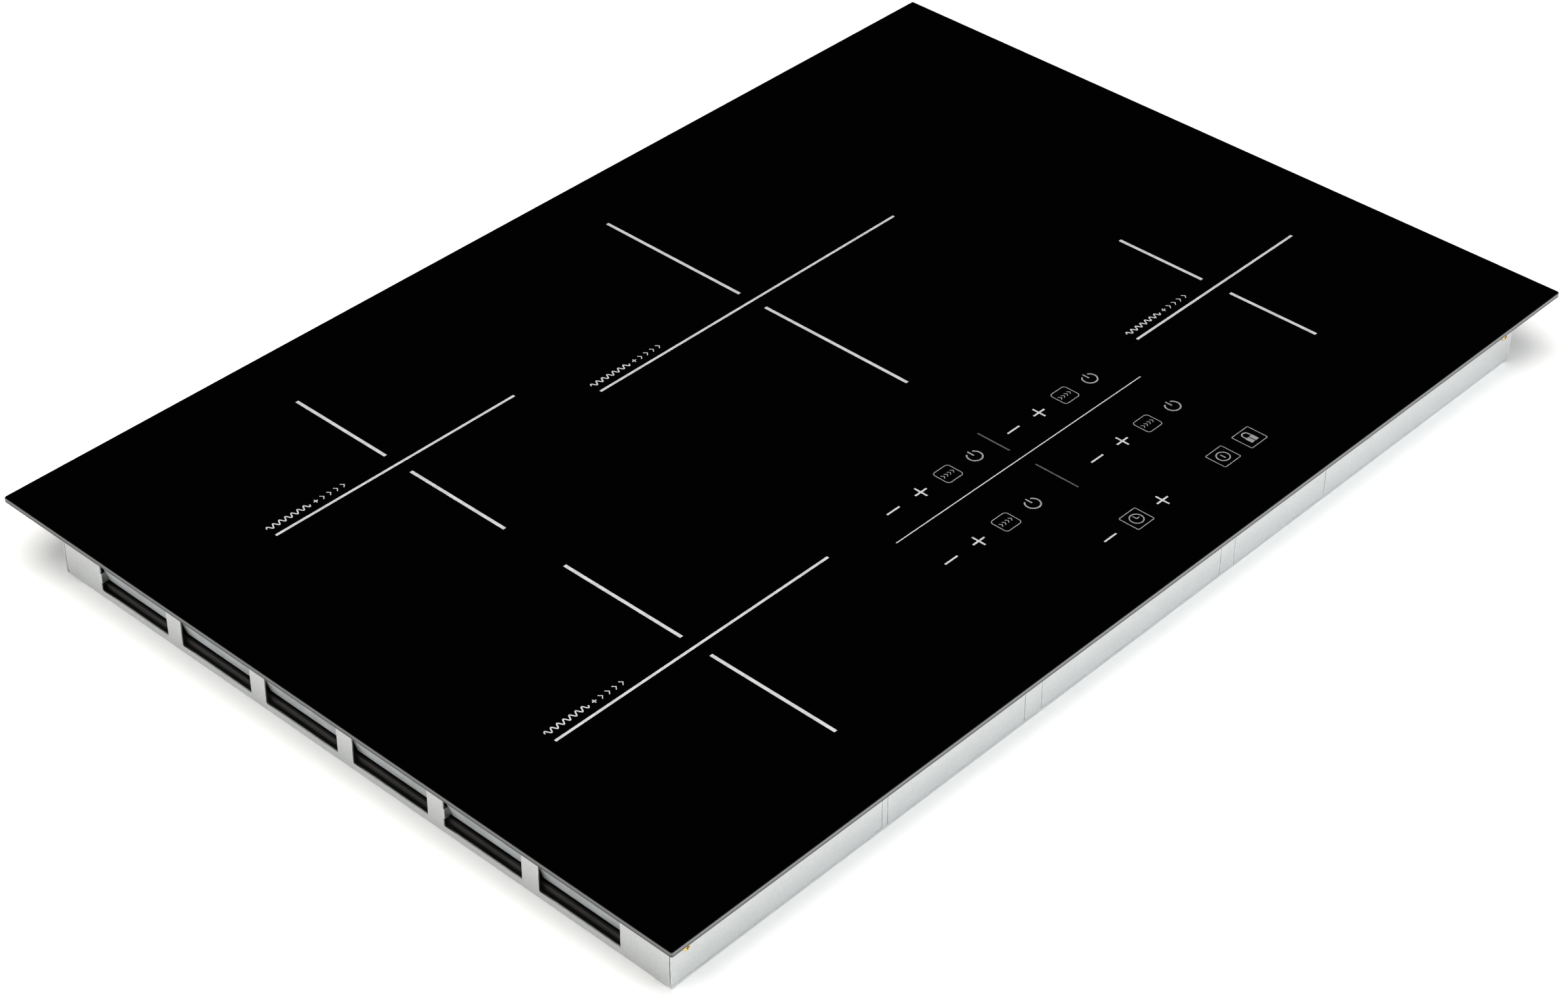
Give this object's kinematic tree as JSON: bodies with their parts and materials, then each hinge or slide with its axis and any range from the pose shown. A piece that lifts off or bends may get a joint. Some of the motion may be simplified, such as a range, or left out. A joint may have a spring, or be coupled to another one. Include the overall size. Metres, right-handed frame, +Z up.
{
  "type": "electric induction cooktop",
  "caption": "Built-in induction cooktop: black glass top with touch keys over a sheet-steel tray with side air windows, coils, inverters and blowers inside.",
  "frame": {"origin": "under the middle of the glass top, on the flat face the tray stands on", "axes": "+Z up; +Y to the back; +X to the right for someone standing in front of the controls, along the long side"},
  "size_m": [0.77, 0.52, 0.0515],
  "materials": {
    "black_glass": "polished, black all through, opaque",
    "silicone_seal": "matt bead",
    "galvanised_steel": "zinc-coated sheet, satin",
    "yellow_zinc": "yellow-passivated zinc",
    "zinc_steel": "bright zinc",
    "black_plastic": "fine moulded grain",
    "cream_plastic": "moulded",
    "brass_terminals": "stamped",
    "aluminium_sheet": "rolled sheet",
    "aluminium_extrusion": "extruded",
    "black_rubber": "moulded",
    "spring_steel": "bright strip",
    "lead_insulation": "silicone sleeve",
    "circuit_board": "green solder mask",
    "wound_core": "enamelled wire on a ring core",
    "capacitor_case": "potted box",
    "fuse_ceramic": "glazed tube",
    "display_lens": "tinted",
    "ribbon_insulation": "flat cable",
    "mica": "pressed mica sheet",
    "ferrite": "sintered",
    "sensor_ceramic": "plain",
    "device_epoxy": "moulded epoxy",
    "sintered_bronze": "sintered",
    "stator_steel": "laminated",
    "former_plastic": "glass-filled moulding",
    "litz_copper": "enamelled litz wire",
    "impeller_plastic": "moulded"
  },
  "bodies": {
    "appliance": {"blower_bearings": "sintered_bronze", "blower_housing_left": "black_plastic", "blower_housing_right": "black_plastic", "blower_stators": "stator_steel", "buzzer": "black_plastic", "cable_gland": "black_plastic", "carrier_left": "black_plastic", "carrier_right": "black_plastic", "coil_leads": "lead_insulation", "coil_plate": "aluminium_sheet", "coil_springs": "spring_steel", "control_board": "circuit_board", "control_carrier": "black_plastic", "cover_screws": "zinc_steel", "displays": "display_lens", "earth_stud": "zinc_steel", "electronics_screws": "zinc_steel", "ferrites": "ferrite", "filter_board": "circuit_board", "former_front_left": "former_plastic", "former_front_right": "former_plastic", "former_rear_centre": "former_plastic", "former_rear_left": "former_plastic", "frame_screws": "yellow_zinc", "glass_frame": "galvanised_steel", "glass_seal": "silicone_seal", "glass_top": "black_glass", "heat_sink_left": "aluminium_extrusion", "heat_sink_right": "aluminium_extrusion", "inverter_board_left": "circuit_board", "inverter_board_right": "circuit_board", "inverter_capacitors": "capacitor_case", "inverter_chokes": "wound_core", "lead_grommets": "black_rubber", "lead_terminals": "brass_terminals", "mains_capacitors": "capacitor_case", "mains_chokes": "wound_core", "mains_fuse": "fuse_ceramic", "mica_discs": "mica", "plate_posts": "zinc_steel", "plate_screws": "zinc_steel", "power_devices": "device_epoxy", "ribbon_cable": "ribbon_insulation", "ribbon_socket": "cream_plastic", "sensors": "sensor_ceramic", "terminal_block": "cream_plastic", "terminal_clamps": "brass_terminals", "terminal_cover": "galvanised_steel", "touch_pads": "spring_steel", "tray": "galvanised_steel", "winding_front_left": "litz_copper", "winding_front_right": "litz_copper", "winding_rear_centre": "litz_copper", "winding_rear_left": "litz_copper"},
    "rotor_left": {"impeller_left": "impeller_plastic", "rotor_magnet_left": "ferrite", "blower_shaft_left": "stator_steel"},
    "rotor_right": {"impeller_right": "impeller_plastic", "rotor_magnet_right": "ferrite", "blower_shaft_right": "stator_steel"}
  },
  "joints": [
    {"name": "blower_left_spin", "type": "hinge", "parent": "appliance", "child": "rotor_left", "pos_m": [-0.072, 0.014, 0.011], "axis": [0, 0, 1], "continuous": true},
    {"name": "blower_right_spin", "type": "hinge", "parent": "appliance", "child": "rotor_right", "pos_m": [0.072, -0.021, 0.011], "axis": [0, 0, 1], "continuous": true}
  ]
}
